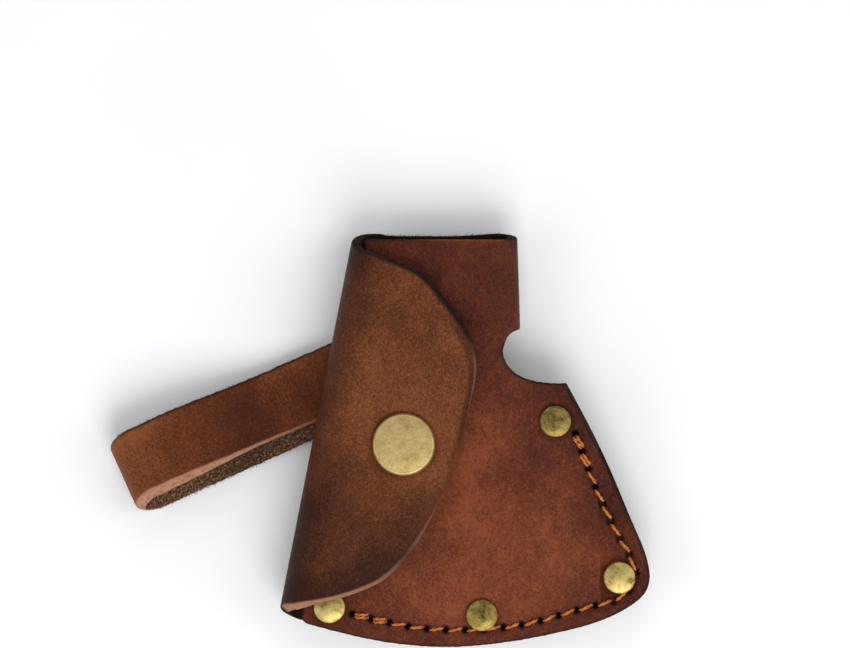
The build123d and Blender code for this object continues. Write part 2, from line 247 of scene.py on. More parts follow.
def rings_round(middles, radii, side, over, sides):
    """The points of rings about some middles; side and over are the two directions each ring lies in."""
    a = 2 * pi * np.arange(sides)[:, None] / sides
    spokes = np.cos(a) * side[..., None, :] + np.sin(a) * over[..., None, :]
    return (middles[:, None] + radii[:, None, None] * spokes).reshape(-1, 3)


def smooth(value, low, high):
    t = np.clip((value - low) / (high - low), 0, 1)
    return t * t * (3 - 2 * t)


def bump(distance_to, width):
    return np.exp(-((distance_to / width) ** 2))


# ---------------------------------------------------------------- leather
def round_over(inset, radius):
    """How far a rounded edge drops at some distance in from the cut."""
    t = np.clip(1 - inset / radius, 0, 1)
    return radius * (1 - np.sqrt(1 - t * t))


def scatter(loops, joins, features, coarse, cut_distance):
    """A sheet's points: its loops, rows beside them, and a grid that is finer near cuts and features."""
    outline, *holes = loops
    free = []
    for step in (coarse, FINE_STEP):
        p = grid(outline.min(0) - 1, outline.max(0) + 1, step)
        p = p[inside(p, outline)]
        near_cut = cut_distance(p)
        near = np.full(len(p), np.inf)
        for line in features:
            near = np.minimum(near, line_distance(p, line))
        fine = (near_cut < FINE_BY_CUT) | (near < FINE_BY_LINE)
        clear = distance(p, outline, np.roll(outline, -1, axis=0)) > CLEAR_OF_EDGE
        free.append(p[(fine if step < coarse else ~fine) & (near_cut > CLEAR_OF_CUT) & clear])
    for inset in EDGE_ROWS:
        for loop, joined in zip(loops, joins):
            p = loop - outward(loop) * inset
            kept = (cut_distance(p) > 0.85 * inset) & inside(p, outline)
            free.append(p[kept & (~joined | (inset < EDGE_ROWS[-1]))])
    free = np.concatenate(free)
    for hole in holes:
        free = free[~inside(free, hole)]
    return np.concatenate([*loops, free])


def triangulate(flat, loops):
    """The points and triangles between the outline and the holes, and the numbers of each loop's points."""
    edges, first = [], 0
    for loop in loops:
        index = first + np.arange(len(loop))
        edges += list(zip(index.tolist(), np.roll(index, -1).tolist()))
        first += len(loop)
    points, _, faces, origins, _, _ = delaunay_2d_cdt([Vector(p) for p in flat], edges, [], 0, 1e-5)
    flat = np.array([p[:] for p in points])
    triangles = np.array([f for f in faces if len(f) == 3])
    middle = flat[triangles].mean(1)
    keep = inside(middle, loops[0])
    for hole in loops[1:]:
        keep &= ~inside(middle, hole)
    triangles = triangles[keep]
    used = np.unique(triangles)
    renumber = np.full(len(flat), -1)
    renumber[used] = np.arange(len(used))
    where = {old: renumber[new] for new, olds in enumerate(origins) for old in olds}
    numbers, first = [], 0
    for loop in loops:
        numbers.append(np.array([where[first + k] for k in range(len(loop))]))
        first += len(loop)
    return flat[used], renumber[triangles], numbers


def join_creases(rows, joined):
    """The edges of a cut wall that stay sharp: along its joined stretch, and down the wall at its ends."""
    both = joined & np.roll(joined, -1)
    ends = joined & ~(both & np.roll(both, 1))
    creases = set()
    for row in (rows[0], rows[-1]):
        creases |= set(zip(row[both].tolist(), np.roll(row, -1)[both].tolist()))
    for upper, lower in zip(rows, rows[1:]):
        creases |= set(zip(upper[ends].tolist(), lower[ends].tolist()))
    return creases


def leather(name, outline, lay, thickness=None, holes=(), features=(), joined=None, relief=None, push=None,
            tone_and_shade=None, tan_edge=None, coarse=1.2, grain_round=0.65, flesh_round=0.3, rough=0.05, nap=0.02):
    """A closed sheet of leather. outline and holes are flat, and lay(flat, depth) bends them into place.

    features are lines that need a finer mesh, and joined tells which outline points butt against the next
    piece. relief presses the grain in, and push shifts the flesh side under it so that a cut edge slants. The
    tone mask darkens (to 0) or lightens (to 1) the leather. It holds the leather's own tone together with
    painted shade and painted light, and below 0.5 it paints the flesh side dark as shade. The tan-edge mask
    is 1 where the cut edge is painted tan, partly as an undyed edge and partly as a painted highlight on
    edges that face the key lamp. rough and nap are how uneven the cut edge and the flesh side are.
    """
    loops = [outline, *holes]
    joins = [joined(loop) if joined else np.zeros(len(loop), bool) for loop in loops]
    is_cut = [~(j & np.roll(j, -1)) for j in joins]
    starts = np.concatenate([loop[c] for loop, c in zip(loops, is_cut)])
    ends = np.concatenate([np.roll(loop, -1, axis=0)[c] for loop, c in zip(loops, is_cut)])

    def cut_distance(points):
        return distance(points, starts, ends)

    points = scatter(loops, joins, features, coarse, cut_distance)
    flat, triangles, loop_numbers = triangulate(points, loops)
    count = len(flat)
    near_cut = cut_distance(flat)
    inner = smooth(distance(flat, outline, np.roll(outline, -1, axis=0)), 0.3, 1.2)
    thick = thickness(flat) if thickness else np.full(count, hide_thickness)
    top_depth = round_over(near_cut, grain_round) + (relief(flat) if relief else 0)
    under_depth = thick - round_over(near_cut, flesh_round) + chance.normal(0, nap, count) * inner
    shift = push(flat) if push else np.zeros_like(flat)
    # The tone with painted shade and painted light, and where the cut edge is painted tan, in part as a
    # painted highlight.
    tone_and_shade_values = tone_and_shade(flat) if tone_and_shade else np.full(count, 0.5)
    tan_share = tan_edge(flat) if tan_edge else np.zeros(count)
    cut = smooth(near_cut, 0.22, 0.0)

    vertices = [lay(flat, top_depth), lay(flat + shift, under_depth)]
    flats = [np.column_stack([flat, top_depth]), np.column_stack([flat, under_depth])]
    marks = {
        "margin": [np.minimum(near_cut, 8)] * 2,
        "cut": [cut * 0.75, cut],
        "flesh": [np.zeros(count), np.ones(count)],
        "tone_and_shade": [tone_and_shade_values] * 2,
        "tan_edge": [tan_share] * 2,
    }
    walls, creases = [], set()
    total = 2 * count
    for loop, joined_points, index in zip(loops, joins, loop_numbers):
        away = outward(loop)
        rows = [index]
        for share in (0.25, 0.5, 0.75):
            jitter = chance.normal(0, rough, len(index)) * ~joined_points
            depth = top_depth[index] * (1 - share) + under_depth[index] * share
            vertices.append(lay(flat[index] + shift[index] * share + away * jitter[:, None], depth))
            flats.append(np.column_stack([flat[index], depth]))
            for key, value in (("margin", 0.0), ("cut", 1.0), ("flesh", 0.0)):
                marks[key].append(np.full(len(index), value))
            marks["tone_and_shade"].append(tone_and_shade_values[index])
            marks["tan_edge"].append(tan_share[index])
            rows.append(total + np.arange(len(index)))
            total += len(index)
        rows.append(index + count)
        for upper, lower in zip(rows, rows[1:]):
            walls += np.stack([upper, lower, np.roll(lower, -1), np.roll(upper, -1)], axis=1).tolist()
        creases |= join_creases(rows, joined_points)
    faces = triangles.tolist() + (triangles[:, ::-1] + count).tolist() + walls
    marks = {key: np.concatenate(values) for key, values in marks.items()}
    return solid(name, np.concatenate(vertices), faces, np.concatenate(flats), marks, creases)


def solid(name, points, faces, flat=None, marks=None, creases=()):
    """A smooth mesh object from points in millimetres, with its texture coordinates and marks as attributes.

    creases are the edges, as pairs of points, that stay sharp.
    """
    mesh = bpy.data.meshes.new(name)
    mesh.from_pydata((np.asarray(points) * MM).tolist(), [], faces)
    if flat is not None:
        attribute = mesh.attributes.new("flat", "FLOAT_VECTOR", "POINT")
        attribute.data.foreach_set("vector", np.asarray(flat, np.float32).ravel())
    for key, value in (marks or {}).items():
        attribute = mesh.attributes.new(key, "FLOAT", "POINT")
        attribute.data.foreach_set("value", np.asarray(value, np.float32))
    work = bmesh.new()
    work.from_mesh(mesh)
    bmesh.ops.recalc_face_normals(work, faces=work.faces)
    for face in work.faces:
        face.smooth = True
    work.verts.ensure_lookup_table()
    for pair in creases:
        work.edges.get([work.verts[k] for k in pair]).smooth = False
    work.to_mesh(mesh)
    work.free()
    piece = bpy.data.objects.new(name, mesh)
    bpy.context.scene.collection.objects.link(piece)
    return piece


# ---------------------------------------------------------------- where the leather lies
def to_fold(xy):
    """Across and along the sheath, measured from the roll."""
    p = np.asarray(xy, float) - fold_top
    return np.stack([p @ across, -(p @ down)], axis=1)


def lay_hide(flat, depth):
    """The leather of the back, the roll and the flap. flat runs across it, growing towards the flap's rim."""
    a, u = flat[:, 0], flat[:, 1]
    turn = np.clip((roll_outer - a) / roll_outer, 0, pi)
    r = roll_outer - depth
    bend = np.clip((a - margin_start) / margin_r, 0, margin_turn)
    rim = np.maximum(a - margin_start - margin_r * margin_turn, 0)
    n = roll_outer - r * np.sin(turn) + np.clip(a, roll_outer, margin_start) - roll_outer
    n = n + np.maximum(back_across - a, 0) + (margin_r - depth) * np.sin(bend) + rim * np.cos(bend)
    z = roll_z + r * np.cos(turn) - (margin_r - depth) * (1 - np.cos(bend)) - rim * np.sin(bend)
    xy = fold_top + np.outer(n, across) - np.outer(u, down)
    return np.column_stack([xy, z])


def flap_flat(xy):
    """The flat coordinates of points on the flap that are seen from above at xy."""
    n, u = to_fold(xy).T
    rolled = roll_outer - roll_outer * np.arcsin(np.clip((roll_outer - n) / roll_outer, 0, 1))
    bend = np.arcsin(np.clip((n - margin_start) / margin_r, 0, sin(margin_turn)))
    rim = np.maximum(n - margin_start - margin_r * sin(margin_turn), 0) / cos(margin_turn)
    a = np.where(n < roll_outer, rolled, np.minimum(n, margin_start) + margin_r * bend + rim)
    return np.stack([a, u], axis=1)


def back_flat(xy):
    """The flat coordinates of points on the back at xy."""
    n, u = to_fold(xy).T
    return np.stack([back_across - (n - roll_outer), u], axis=1)


def roll_end(start, end, rise, slope, count=12):
    """The roll's slanting cut end between two flat coordinates."""
    a = np.linspace(start, end, count)
    z = roll_z + roll_outer * np.cos(np.clip((roll_outer - a) / roll_outer, 0, pi))
    return even(np.stack([a, rise + slope * (z - back_z)], axis=1))


def roll_top(start, end):
    return roll_end(start, end, roll_top_rise, -roll_top_slope)


def roll_foot(start, end, count=12):
    return roll_end(start, end, -roll_foot_drop, roll_foot_slope, count)


def hide_seam(a):
    """The line along the roll where two pieces of the hide meet, from the foot up."""
    return even([roll_foot(a, a)[0], roll_top(a, a)[0]])


def lay_front(flat, depth):
    """The front's leather, which folds round the poll and comes back as the tab."""
    q = (flat - poll_top) @ poll_across
    v = (flat - poll_top) @ poll_up
    folded = (q > 0) & (flat[:, 1] > np.where(q > poll_turn - 2, tab_low_y - 0.5, 22.6))
    turn = np.where(folded, np.clip(q / poll_outer, 0, pi), 0)
    r = poll_outer - depth
    tab = np.where(folded, np.maximum(q - poll_turn, 0), 0)
    over = np.where(folded, r * np.sin(turn) - tab, q)
    z = np.where(folded, poll_z + r * np.cos(turn), front_top - depth)
    xy = poll_top + np.outer(over, poll_across) + np.outer(v, poll_up)
    return np.column_stack([xy, z])


def unfold(over, y, turn):
    """The flat point of the front's leather whose place is over across from the poll's axis, at height y."""
    q = poll_outer * turn + np.where(turn >= pi - 1e-9, -np.minimum(over, 0), 0)
    v = (y - poll_top[1] - poll_across[1] * over) / poll_up[1]
    return poll_top + np.outer(q, poll_across) + np.outer(v, poll_up)


# ---------------------------------------------------------------- outlines
pouch = curve([
    (46.5, 13.9), (53.9, -0.1), (63.9, -22.1), (67.4, -31.5), (67.3, -36.9), (62.3, -42.0), (45.4, -48.1),
    (17.9, -51.8), (-1.6, -50.0), (-17.6, -46.1),
])
notch = curve([
    (33.2, 26.5), (31.1, 22.8), (31.9, 19.2), (34.6, 16.3), (40.1, 14.3), (46.4, 13.9),
])
notch_roof = curve([(37.5, 28.3), (35.6, 27.5), (33.2, 26.5), (31.1, 22.8)], 0.1)[::-1]
notch_left = notch[np.argmin(notch[:, 0]) :]
seam = curve([
    (49.2, 1.6), (54.4, -12.25), (60.85, -25.5), (64.1, -33.9), (62.3, -38.2), (53.0, -41.7), (40.25, -45.35),
    (25.9, -47.35), (11.5, -47.2), (-6.6, -43.55),
], 0.1)
stitch_run = len(seam) - 1
stitch_points = seam[[round(i * stitch_run / stitches) for i in range(stitches + 1)]]

half_turn = np.linspace(0.06, pi, 26)
roof_over = poll_outer * np.sin(half_turn)
roof_y = np.interp(poll_foot[0] + roof_over, notch_roof[:, 0], notch_roof[:, 1])
fold_low = even(unfold(roof_over, roof_y, half_turn))
full_turn = np.linspace(pi, 0, 26)
fold_over = poll_outer * np.sin(full_turn)
top_y = top_edge + (top_edge_back - top_edge) * (1 - np.cos(full_turn)) / 2
fold_high = even(unfold(fold_over, top_y, full_turn))


def tab_flat(points):
    over = (np.array(points) - poll_top) @ poll_across
    return unfold(over, np.array(points)[:, 1], np.full(len(points), pi))


tab = even(tab_flat([
    (31.0, 22.8), (tab_full_x, tab_low_y), (tab_end_x, tab_low_y), (tab_end_x, 51.0), (16.6, 50.9),
    (tab_full_x + 1, 51.1), (29.6, top_edge_back),
]))
front_outline = join(
    notch_left[::-1], fold_low, tab, fold_high,
    even([(29.9, 50.0), (-3.25, 50.1)]),
    even([(-3.35, 49.6), (-19.2, -43.2)]),
    curve([(-19.3, -43.9), (-18.9, -45.3), (-17.6, -46.1)]),
    pouch[::-1],
)

flap_edge = flap_flat(curve([
    (-3.6, 47.1), (3.3, 44.3), (10.75, 40.4), (15.9, 34.5), (21.6, 27.0), (24.4, 20.0), (23.6, 10.0),
    (20.6, -3.0), (15.5, -15.5), (7.9, -27.2), (0.0, -35.0), (-4.8, -37.2), (-11.2, -39.2), (-17.6, -40.4),
    (-20.9, -40.9),
], 0.3))
flap_rim = even(flap_edge[flap_edge[:, 0] > 3.6])
flap_start = 3.2  # where the roll's ends turn into the flap's rim
flap_outline = join(
    roll_top(flap_seam, flap_start), flap_rim, roll_foot(flap_start, flap_seam), hide_seam(flap_seam))
side_outline = join(
    roll_top(back_seam, flap_seam), hide_seam(flap_seam)[::-1],
    roll_foot(flap_seam, back_seam), hide_seam(back_seam))
back_outline = join(
    roll_foot(back_across, back_seam)[::-1], back_flat(pouch[::-1]), back_flat(notch_left[::-1]),
    back_flat(even([(31.0, 22.8), (tab_full_x, tab_low_y), (tab_full_x, 51.0), (16.6, 50.8), (1.8, 51.1)])),
    roll_top(back_across, back_seam), hide_seam(back_seam)[::-1],
)


def on(seam_a):
    return lambda loop: np.abs(loop[:, 0] - seam_a) < 0.02


# ---------------------------------------------------------------- pressing, wear and dye
def near_points(points, centres):
    p = np.asarray(points)[:, None, :] - np.asarray(centres)[None, :, :]
    return np.sqrt((p**2).sum(2)).min(1)


def seam_relief(flat, line, line_holes):
    """The stitches draw the leather down, most at their holes."""
    return 0.22 * bump(line_distance(flat, line), 1.3) + 0.25 * bump(near_points(flat, line_holes), 0.9)


def rivet_relief(flat, centres):
    """Each rivet's cap presses a shallow dish."""
    return 0.4 * smooth(near_points(flat, centres), rivet_r + 1.4, rivet_r - 0.4)


def slanting(line, amount):
    """A push of the flesh side out past a line, which runs anticlockwise, by amount(flat) where it is cut."""
    way = np.gradient(line, axis=0)
    out = np.stack([way[:, 1], -way[:, 0]], axis=1) / np.linalg.norm(way, axis=1)[:, None]
    reach = 2.4

    def push(flat):
        shift = np.zeros_like(flat)
        from_line = line_distance(flat, line)
        near = from_line < reach
        nearest = ((flat[near][:, None] - line[None]) ** 2).sum(2).argmin(1)
        shift[near] = out[nearest] * (amount(flat[near]) * smooth(from_line[near], reach, 0.0))[:, None]
        return shift

    return push


def front_relief(flat):
    skived = skive * smooth((flat - poll_top) @ poll_across, poll_turn + 7.9, poll_turn + 8.5)
    return skived + seam_relief(flat, seam, stitch_points) + rivet_relief(flat, rivets)


def flap_relief(flat):
    """A shallow dish under the snap, and the right margin's bevel, with a crease at each side of it."""
    xy = lay_hide(flat, np.zeros(len(flat)))[:, :2]
    dish = 0.5 * smooth(near_points(xy, [snap]), snap_r + 1.1, snap_r - 0.3)
    rim = line_distance(flat, flap_rim)
    width = 2.7 - 1.3 * smooth(flat[:, 1], -22, -38)
    right = smooth(flat[:, 0], 26, 31)
    creases = 0.16 * bump(rim - width, 0.28) + 0.14 * bump(rim - width / 2, 0.25)
    return dish + (0.9 * smooth(rim / width, 1.0, 0.0) + creases) * right


def back_relief(flat):
    groove = seam_relief(flat, back_flat(seam), back_flat(stitch_points))
    return groove + rivet_relief(flat, back_flat(np.array(rivets)))


# ---------------------------------------------------------------- materials
def srgb(*values):
    """A linear colour with alpha from red, green and blue of 0 to 255."""
    linear = [((v / 255 + 0.055) / 1.055) ** 2.4 if v > 10 else v / 255 / 12.92 for v in values]
    return (*linear, 1.0)


class Graph:
    """The node tree of a material or of the world, with a short way to add a linked node."""

    def __init__(self, owner):
        owner.use_nodes = True
        self.owner = owner
        self.tree = owner.node_tree

    def add(self, kind, inputs=None, out=0, **settings):
        node = self.tree.nodes.new("ShaderNode" + kind)
        for key, value in settings.items():
            setattr(node, key, value)
        for key, value in (inputs or {}).items():
            self.set(node.inputs[key], value)
        return node.outputs[out]

    def set(self, socket, value):
        if isinstance(value, bpy.types.NodeSocket):
            self.tree.links.new(value, socket)
        else:
            socket.default_value = value

    def mark(self, name):
        return self.add("Attribute", attribute_name=name, out="Fac")

    def noise(self, where, scale, detail=3.0, rough=0.55, stretch=(1, 1, 1), shift=0.0):
        place = (shift, shift * 0.7, shift * 1.3)
        moved = self.add("Mapping", {"Vector": where, "Scale": stretch, "Location": place})
        return self.add("TexNoise", {"Vector": moved, "Scale": scale, "Detail": detail, "Roughness": rough})

    def math(self, operation, a, b):
        return self.add("Math", {0: a, 1: b}, operation=operation)

    def times(self, a, b):
        return self.math("MULTIPLY", a, b)

    def add_scaled(self, value, factor, offset):
        """value * factor + offset."""
        return self.add("Math", {0: value, 1: factor, 2: offset}, operation="MULTIPLY_ADD")

    def span(self, value, low, high, to_low=0.0, to_high=1.0):
        inputs = {"Value": value, "From Min": low, "From Max": high, "To Min": to_low, "To Max": to_high}
        return self.add("MapRange", inputs, interpolation_type="SMOOTHSTEP")

    def mix(self, share, a, b):
        node = self.tree.nodes.new("ShaderNodeMix")
        node.data_type = "RGBA"
        self.set(node.inputs[0], share)
        self.set(node.inputs[6], a)
        self.set(node.inputs[7], b)
        return node.outputs[2]

    def ramp(self, value, *stops):
        node = self.tree.nodes.new("ShaderNodeValToRGB")
        self.set(node.inputs[0], value)
        elements = node.color_ramp.elements
        while len(elements) < len(stops):
            elements.new(0.5)
        for element, (place, colour) in zip(elements, stops):
            element.position = place
            element.color = colour
        return node.outputs[0]

    def bump(self, height, strength, depth, normal=None):
        inputs = {"Height": height, "Strength": strength, "Distance": depth * MM}
        if normal is not None:
            inputs["Normal"] = normal
        return self.add("Bump", inputs)

    def finish(self, colour, roughness, normal, specular, metallic=0.0):
        shader = self.tree.nodes["Principled BSDF"]
        self.set(shader.inputs["Base Color"], colour)
        self.set(shader.inputs["Roughness"], roughness)
        self.set(shader.inputs["Normal"], normal)
        shader.inputs["Specular IOR Level"].default_value = specular
        shader.inputs["Metallic"].default_value = metallic
        return self.owner


def leather_material(name, dark, middle, light, tan_edge, flesh, shift):
    """Vegetable-tanned leather: mottled dye with painted shade and light over a pored grain, a rough flesh
    side painted dark as shade where the tone mask is low, burnished edges, and tan edges that are partly
    undyed and partly a painted highlight.
    """
    dark, middle, light, tan_edge, flesh = (srgb(*colour) for colour in (dark, middle, light, tan_edge, flesh))
    # The dark of a burnished edge. It is also used as painted shade on the flesh side.
    edge = srgb(24, 15, 12)
    g = Graph(bpy.data.materials.new(name))
    flat = g.add("Attribute", attribute_name="flat", out="Vector")
    cloudy = g.noise(flat, 0.06, 2, 0.5, shift=shift)
    mottle = g.noise(flat, 0.42, 4, 0.6, (1, 0.6, 1), shift + 3)
    speckle = g.noise(flat, 1.7, 3, 0.7, (1, 0.8, 1), shift + 7)
    fine = g.noise(flat, 4.6, 2, 0.6, shift=shift + 9)
    cells = g.add("TexVoronoi", {"Vector": flat, "Scale": 1.9, "Randomness": 1.0}, feature="DISTANCE_TO_EDGE")
    pores = g.add("TexVoronoi", {"Vector": flat, "Scale": 2.6, "Randomness": 1.0}, feature="F1")
    # The tone mask: the leather's own tone together with painted shade and painted light.
    tone_and_shade = g.mark("tone_and_shade")
    tone = tone_and_shade
    for source, share in ((cloudy, 0.65), (mottle, 0.36), (speckle, 0.95), (fine, 0.95)):
        tone = g.add_scaled(g.math("SUBTRACT", source, 0.5), share, tone)
    tone = g.math("SUBTRACT", tone, g.span(pores, 0.22, 0.05, 0.0, 0.16))
    colour = g.ramp(tone, (0.08, dark), (0.5, middle), (0.92, light))
    rim = g.span(g.mark("margin"), 1.0, 0.1)
    tan_share = g.mark("tan_edge")
    colour = g.mix(g.times(rim, g.add_scaled(tan_share, -0.6, 0.6)), colour, edge)
    # Tan near a cut where the tan-edge mask asks for it. In part this is an undyed edge, and in part a
    # painted highlight.
    tone_and_light = g.times(g.span(g.mark("margin"), 0.7, 0.1), g.times(tan_share, 0.7))
    colour = g.mix(tone_and_light, colour, tan_edge)

    suede = g.noise(flat, 1.5, 4, 0.75, shift=shift + 1)
    nap = g.noise(flat, 5.5, 3, 0.7, (1, 0.4, 1), shift + 2)
    hair = g.add_scaled(suede, 0.6, g.times(nap, 0.4))
    flesh_colour = g.ramp(hair, (0.41, edge), (0.47, flesh), (0.52, flesh), (0.59, tan_edge))
    # Painted shade: the flesh side goes dark where the tone mask is below 0.5, most in the sheath's mouth.
    flesh_colour = g.mix(g.span(tone_and_shade, 0.5, 0.1, 0.0, 0.95), flesh_colour, edge)
    colour = g.mix(g.mark("flesh"), colour, flesh_colour)
    cut_colour = g.mix(tan_share, edge, tan_edge)
    layers = g.noise(flat, 1.1, 4, 0.8, (0.5, 0.5, 3.0), shift + 6)
    cut_colour = g.mix(g.span(layers, 0.46, 0.66, 0.0, 0.6), cut_colour, flesh)
    colour = g.mix(g.mark("cut"), colour, cut_colour)

    rough = g.math("MAXIMUM", g.mark("flesh"), g.mark("cut"))
    gloss = g.add_scaled(speckle, 0.3, 0.42)
    roughness = g.math("MAXIMUM", gloss, g.times(g.math("MAXIMUM", rough, rim), 0.9))
    grain = g.add_scaled(g.span(cells, 0.0, 0.16), 0.5, g.times(g.span(pores, 0.0, 0.28), 0.5))
    grain = g.add_scaled(speckle, 1.0, grain)
    height = g.mix(rough, grain, g.times(hair, 5.0))
    normal = g.bump(mottle, 0.3, 0.6)
    normal = g.bump(height, 0.6, 0.16, normal)
    return g.finish(colour, roughness, normal, specular=0.12)


def metal_material(name, base, patina, bright, shift, tarnish, roughness):
    """Aged metal: patches of patina, fine scratches and small dents."""
    base, patina, bright = (srgb(*colour) for colour in (base, patina, bright))
    g = Graph(bpy.data.materials.new(name))
    where = g.add("TexCoord", out="Object")
    where = g.add("Mapping", {"Vector": where, "Scale": [1 / MM] * 3, "Location": (shift, shift, 0)})
    patches = g.noise(where, 0.38, 4, 0.62, shift=shift)
    spots = g.noise(where, 1.6, 4, 0.7, shift=shift + 4)
    scratches = g.noise(where, 1.4, 3, 0.7, (0.45, 5.5, 1), shift + 2)
    turned = g.add("Mapping", {"Vector": where, "Rotation": (0, 0, 1.1)})
    cross = g.noise(turned, 1.2, 3, 0.7, (0.4, 6.0, 1), shift + 5)
    blend = g.math("ADD", g.times(patches, 0.62), g.times(spots, 0.38))
    colour = g.ramp(blend, (0.36, patina), (0.36 + 0.3 * tarnish, base), (0.8, bright))
    lines = g.math("MAXIMUM", g.span(scratches, 0.62, 0.74), g.span(cross, 0.64, 0.76))
    colour = g.mix(g.times(lines, 0.3), colour, bright)
    rough = g.add_scaled(spots, 0.34, roughness - 0.12)
    height = g.math("ADD", g.times(spots, 0.6), g.times(scratches, 0.5))
    normal = g.bump(patches, 0.35, 0.25)
    normal = g.bump(height, 0.3, 0.05, normal)
    return g.finish(colour, rough, normal, specular=0.5, metallic=0.86)


def thread_material(name, dark, middle, light):
    """Waxed polyester thread with fine fibres along each ply."""
    dark, middle, light = (srgb(*colour) for colour in (dark, middle, light))
    g = Graph(bpy.data.materials.new(name))
    flat = g.add("Attribute", attribute_name="flat", out="Vector")
    fibres = g.noise(flat, 2.2, 3, 0.7, (0.35, 5.0, 5.0))
    wear = g.noise(flat, 0.5, 3, 0.6, shift=5)
    tone = g.math("ADD", g.times(fibres, 0.65), g.times(wear, 0.35))
    colour = g.ramp(tone, (0.34, dark), (0.5, middle), (0.66, light))
    normal = g.bump(fibres, 0.6, 0.08)
    rough = g.add_scaled(wear, 0.3, 0.45)
    return g.finish(colour, rough, normal, specular=0.35)


# Colours are red, green and blue of 0 to 255. A leather has its dark, middle and light tones, its edge tan
# (partly undyed, partly a painted highlight) and its flesh side; a metal has its own colour, its patina and
# its bright spots.
tan_edge_colour = (180, 130, 104)
flesh_brown = (72, 50, 37)
front_finish = leather_material(
    "front_leather", (50, 18, 12), (97, 45, 27), (146, 76, 44), (140, 72, 42), flesh_brown, 0)
flap_finish = leather_material(
    "flap_leather", (47, 20, 8), (93, 48, 23), (140, 82, 45), tan_edge_colour, flesh_brown, 20)
strap_finish = leather_material(
    "strap_leather", (44, 17, 7), (91, 43, 18), (138, 78, 42), tan_edge_colour, (92, 66, 48), 40)
welt_finish = leather_material(
    "welt_leather", (40, 22, 16), (64, 36, 25), (86, 52, 36), (80, 50, 36), flesh_brown, 60)
rivet_finish = metal_material("rivet_brass", (192, 168, 98), (118, 100, 50), (228, 208, 146), 3, 0.4, 0.38)
# A darker copy of the brass, for rivets 2 and 4.
darker_rivet_finish = metal_material("rivet_brass_darker", (152, 130, 68), (78, 66, 30), (204, 182, 118), 5, 0.6, 0.36)
snap_finish = metal_material("snap_brass", (198, 172, 112), (172, 148, 88), (224, 202, 150), 9, 0.4, 0.42)
wire_finish = metal_material("spring_wire", (150, 150, 148), (96, 94, 90), (200, 200, 198), 15, 0.5, 0.3)
thread_finish = thread_material("thread", (98, 40, 10), (190, 104, 38), (226, 158, 84))


def dress(piece, finish):
    """Give a piece its material."""
    piece.data.materials.clear()
    piece.data.materials.append(finish)
    return piece


# ---------------------------------------------------------------- the front's leather
def front_tone_and_shade(flat):
    """Redder and darker at the poll, by the upper rivet and along the right edge, and lighter in the middle,
    partly its own tone and partly painted shade and a painted highlight; painted shade darkens the mouth.
    """
    # middle is lighter tone together with a painted highlight on the front's bulge; poll, right, margin and
    # under_rivet are darker tone together with painted shade.
    middle = bump(np.hypot(flat[:, 0] - 24, (flat[:, 1] + 26) * 0.9), 30)
    under_rivet = bump(np.hypot((flat[:, 0] - 44) * 0.8, flat[:, 1] + 8), 12)
    poll = smooth(flat[:, 1], 0, 30)
    right = smooth(line_distance(flat, pouch), 18, 3) * smooth(flat[:, 0], 8, 50)
    margin = smooth(line_distance(flat, pouch), 9, 2)
    # Painted shade at the mouth, on the fold and the tab.
    inner_mouth = smooth(flat[:, 1], 45, 49.5) * smooth((flat - poll_top) @ poll_across, 3, 7)
    tone_and_light = 0.17 * middle - 0.18 * poll - 0.08 * right - 0.14 * margin - 0.16 * under_rivet
    return 0.5 + tone_and_light - 0.4 * inner_mouth


def front_tan_edge(flat):
    """The top edge is painted tan, most towards the poll."""
    before_fold = smooth((flat - poll_top) @ poll_across, 3.0, 0.0)
    return 0.9 * smooth(flat[:, 1], 48.8, 49.6) * smooth(flat[:, 0], 4, 20) * before_fold


def front_slant(flat):
    """The cut edge beside the upper rivet leans out."""
    return 0.15 + 0.4 * smooth(flat[:, 1], -26, -6)


front_leather = leather(
    "front_leather", front_outline, lay_front, holes=[ring(p, hole_r) for p in stitch_points],
    features=[seam, *circles(rivets, RIVET_CIRCLES)], relief=front_relief,
    push=slanting(pouch[::-1], front_slant), tone_and_shade=front_tone_and_shade, tan_edge=front_tan_edge)
dress(front_leather, front_finish)
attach(front_leather, "sheath")
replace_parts(front_leather, "front_panel")


# ---------------------------------------------------------------- the back, the roll and the flap
hide_edge = np.concatenate([roll_foot(back_seam, flap_start, 24), flap_rim[::-1]])


def hide_tone_and_shade(flat):
    """Tan at the flap's top; painted shade darkens its foot and rolled side and paints the mouth nearly
    black, and it is darker along the right margin.
    """
    a, u = flat.T
    snap_side = bump(np.hypot(a - 26, u + 45), 14)
    mouth = smooth(u, -10, 0) * smooth(a, 8, 0)
    margin = smooth(line_distance(flat, flap_rim), 2.7, 1.9) * smooth(a, 26, 31) * smooth(u, -52, -36)
    foot = smooth(u, -40, -92)
    low_rim = smooth(line_distance(flat, flap_rim), 11, 2) * smooth(u, -48, -60) * smooth(a, -6, 4)
    # foot, low_rim and the rolled side's term are painted shade, and so is mouth.
    tone = 0.6 - 0.36 * foot - 0.11 * low_rim - 0.2 * smooth(a, 18, -2) + 0.1 * snap_side
    return tone - 0.4 * mouth - 0.3 * margin


def flap_tan_edge(flat):
    """The cut edge of the flap's foot is painted tan, partly as an undyed edge and partly as a painted
    highlight where it faces the key lamp, and the right margin's edge is painted half tan.
    """
    a, u = flat.T
    margin = 0.38 * smooth(u, -15, -24) * smooth(a, 26, 31)
    return np.maximum(0.85 * smooth(u, -66, -88) * smooth(a, -4.5, -1.0), margin)


def hide_slant(flat):
    """How far the flap's cut edge slants, which shows as a tan band below and a dark one at the top right."""
    a, u = flat.T
    foot = smooth(u, -50, -70)
    tip = smooth(u, -80, -88) * smooth(a, 12, 4) * smooth(a, -6.0, -2.0)
    top = smooth(u, 2, -6) * smooth(u, -40, -22) * smooth(a, 8, 16)
    return (0.35 + 0.25 * foot + 0.45 * tip + 0.7 * top) * smooth(a, -8.0, -4.0)


